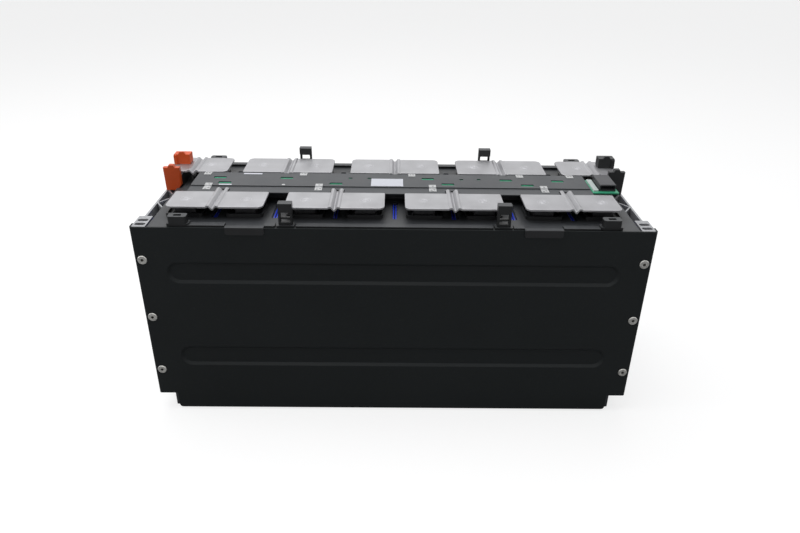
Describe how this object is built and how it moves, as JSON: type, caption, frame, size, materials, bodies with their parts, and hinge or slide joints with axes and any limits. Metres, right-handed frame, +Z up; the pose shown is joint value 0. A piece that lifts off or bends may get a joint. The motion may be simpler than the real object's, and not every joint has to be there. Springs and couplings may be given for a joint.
{
  "type": "ev battery module",
  "caption": "Long prismatic-cell traction battery module: cells clamped between extruded end plates and riveted black side plates, with exposed busbars and a sensing strip on top",
  "frame": {"origin": "centre of the underside, midway along the length and the width", "axes": "+X along the long side from the positive end to the negative end, -Y towards the front side plate, +Z up"},
  "size_m": [0.6, 0.2252, 0.2892],
  "materials": {
    "coated_sheet": "satin black coating on sheet metal",
    "end_plate_alloy": "bare extruded aluminium",
    "rivet_steel": "bright plated",
    "cell_film": "blue insulating film",
    "spacer_foam": "dark foam sheet",
    "insulator_sheet": "thin dark insulating sheet",
    "terminal_alloy": "machined aluminium",
    "carrier_plastic": "moulded dark plastic",
    "busbar_alloy": "stamped aluminium",
    "orange_plastic": "orange moulded plastic",
    "black_plastic": "black moulded plastic",
    "cover_plastic": "dark grey moulded plastic",
    "board_laminate": "green coated circuit laminate",
    "nickel_tab": "bright nickel strip",
    "label_paper": "white label without text",
    "plate_plastic": "light grey plastic",
    "connector_plastic": "dark grey connector housing"
  },
  "bodies": {
    "root": {"side_plate_front": "coated_sheet", "side_plate_rear": "coated_sheet", "end_plate_left": "end_plate_alloy", "end_plate_right": "end_plate_alloy", "rivets_front": "rivet_steel", "rivets_rear": "rivet_steel", "cell_1": "cell_film", "cell_2": "cell_film", "cell_3": "cell_film", "cell_4": "cell_film", "cell_5": "cell_film", "cell_6": "cell_film", "cell_7": "cell_film", "cell_8": "cell_film", "cell_spacers": "spacer_foam", "end_insulator_left": "insulator_sheet", "end_insulator_right": "insulator_sheet", "side_insulator_front": "insulator_sheet", "side_insulator_rear": "insulator_sheet", "base_insulator": "insulator_sheet", "cell_terminals": "terminal_alloy", "busbar_carrier": "carrier_plastic", "front_busbar_1": "busbar_alloy", "front_busbar_2": "busbar_alloy", "front_busbar_3": "busbar_alloy", "front_busbar_4": "busbar_alloy", "rear_busbar_1": "busbar_alloy", "rear_busbar_2": "busbar_alloy", "rear_busbar_3": "busbar_alloy", "output_busbar_positive": "busbar_alloy", "output_busbar_negative": "busbar_alloy", "positive_terminal_base": "carrier_plastic", "negative_terminal_base": "carrier_plastic", "positive_shield_cap": "orange_plastic", "negative_shield_cap": "black_plastic", "positive_pad_cap": "orange_plastic", "negative_pad_cap": "black_plastic", "harness_cover": "cover_plastic", "sense_board": "board_laminate", "sense_tabs": "nickel_tab", "serial_label": "label_paper", "connector_plate": "plate_plastic", "data_connector": "connector_plastic"}
  },
  "joints": []
}
